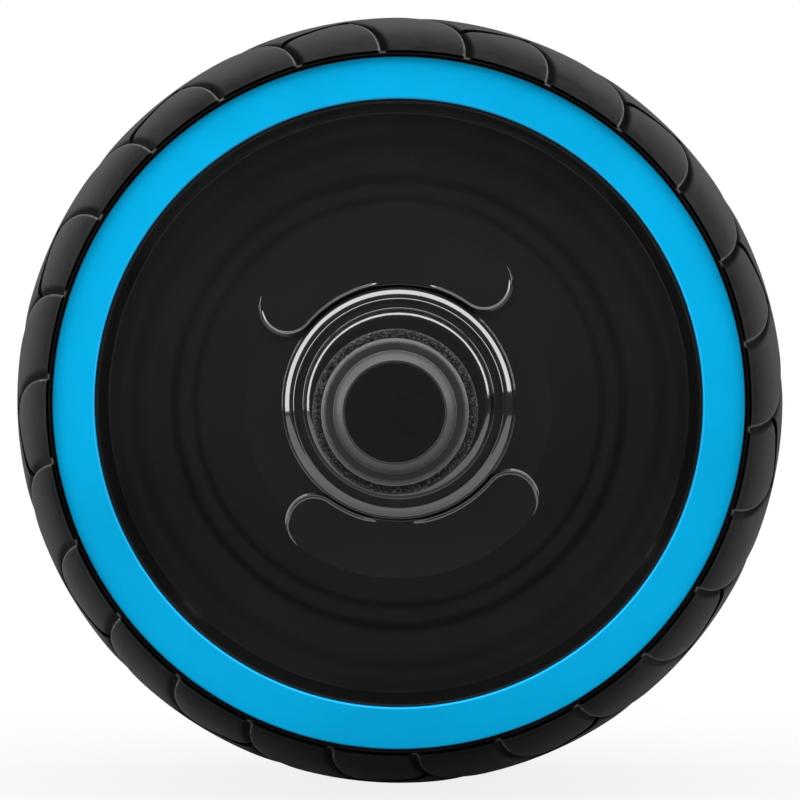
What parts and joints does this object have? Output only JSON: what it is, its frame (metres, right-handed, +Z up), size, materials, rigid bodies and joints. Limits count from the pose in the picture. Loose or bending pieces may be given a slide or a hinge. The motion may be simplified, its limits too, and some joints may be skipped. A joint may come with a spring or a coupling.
{
  "type": "ab wheel roller",
  "caption": "Wide treaded wheel with dished sides and blue trim rings, spinning on a steel bar with a foam grip at each end, for kneeling roll-out exercise.",
  "frame": {"origin": "middle of the wheel, on the bar's axis", "axes": "+Y along the bar to the left-hand grip, +Z up, +X the way it rolls away from the user"},
  "size_m": [0.19, 0.39, 0.19],
  "materials": {
    "tyre": "satin black rubber tread",
    "drum_plastic": "moulded black plastic",
    "steel_tube": "drawn steel tube",
    "gloss_cover": "polished black plastic",
    "blue_ring": "satin bright blue plastic",
    "screw_steel": "blackened steel",
    "bush_nylon": "natural nylon",
    "washer_nylon": "natural nylon",
    "collar_plastic": "smooth black plastic",
    "grip_foam": "charcoal foam rubber",
    "plug_plastic": "satin dark grey plastic",
    "disc_plastic": "plain matt black"
  },
  "bodies": {
    "handle_bar": {"handle_bar": "steel_tube", "right_thrust_washer": "washer_nylon", "right_stop_collar": "collar_plastic", "right_collar_screw": "screw_steel", "right_grip": "grip_foam", "right_end_plug": "plug_plastic", "right_plug_disc": "disc_plastic", "left_thrust_washer": "washer_nylon", "left_stop_collar": "collar_plastic", "left_collar_screw": "screw_steel", "left_grip": "grip_foam", "left_end_plug": "plug_plastic", "left_plug_disc": "disc_plastic"},
    "wheel": {"wheel_drum": "drum_plastic", "tyre": "tyre", "right_side_cover": "gloss_cover", "right_trim_ring": "blue_ring", "right_cover_screws": "screw_steel", "right_bush": "bush_nylon", "left_side_cover": "gloss_cover", "left_trim_ring": "blue_ring", "left_cover_screws": "screw_steel", "left_bush": "bush_nylon"}
  },
  "joints": [
    {"name": "wheel_spin", "type": "hinge", "parent": "handle_bar", "child": "wheel", "pos_m": [0, 0, 0], "axis": [0, 1, 0], "continuous": true}
  ]
}
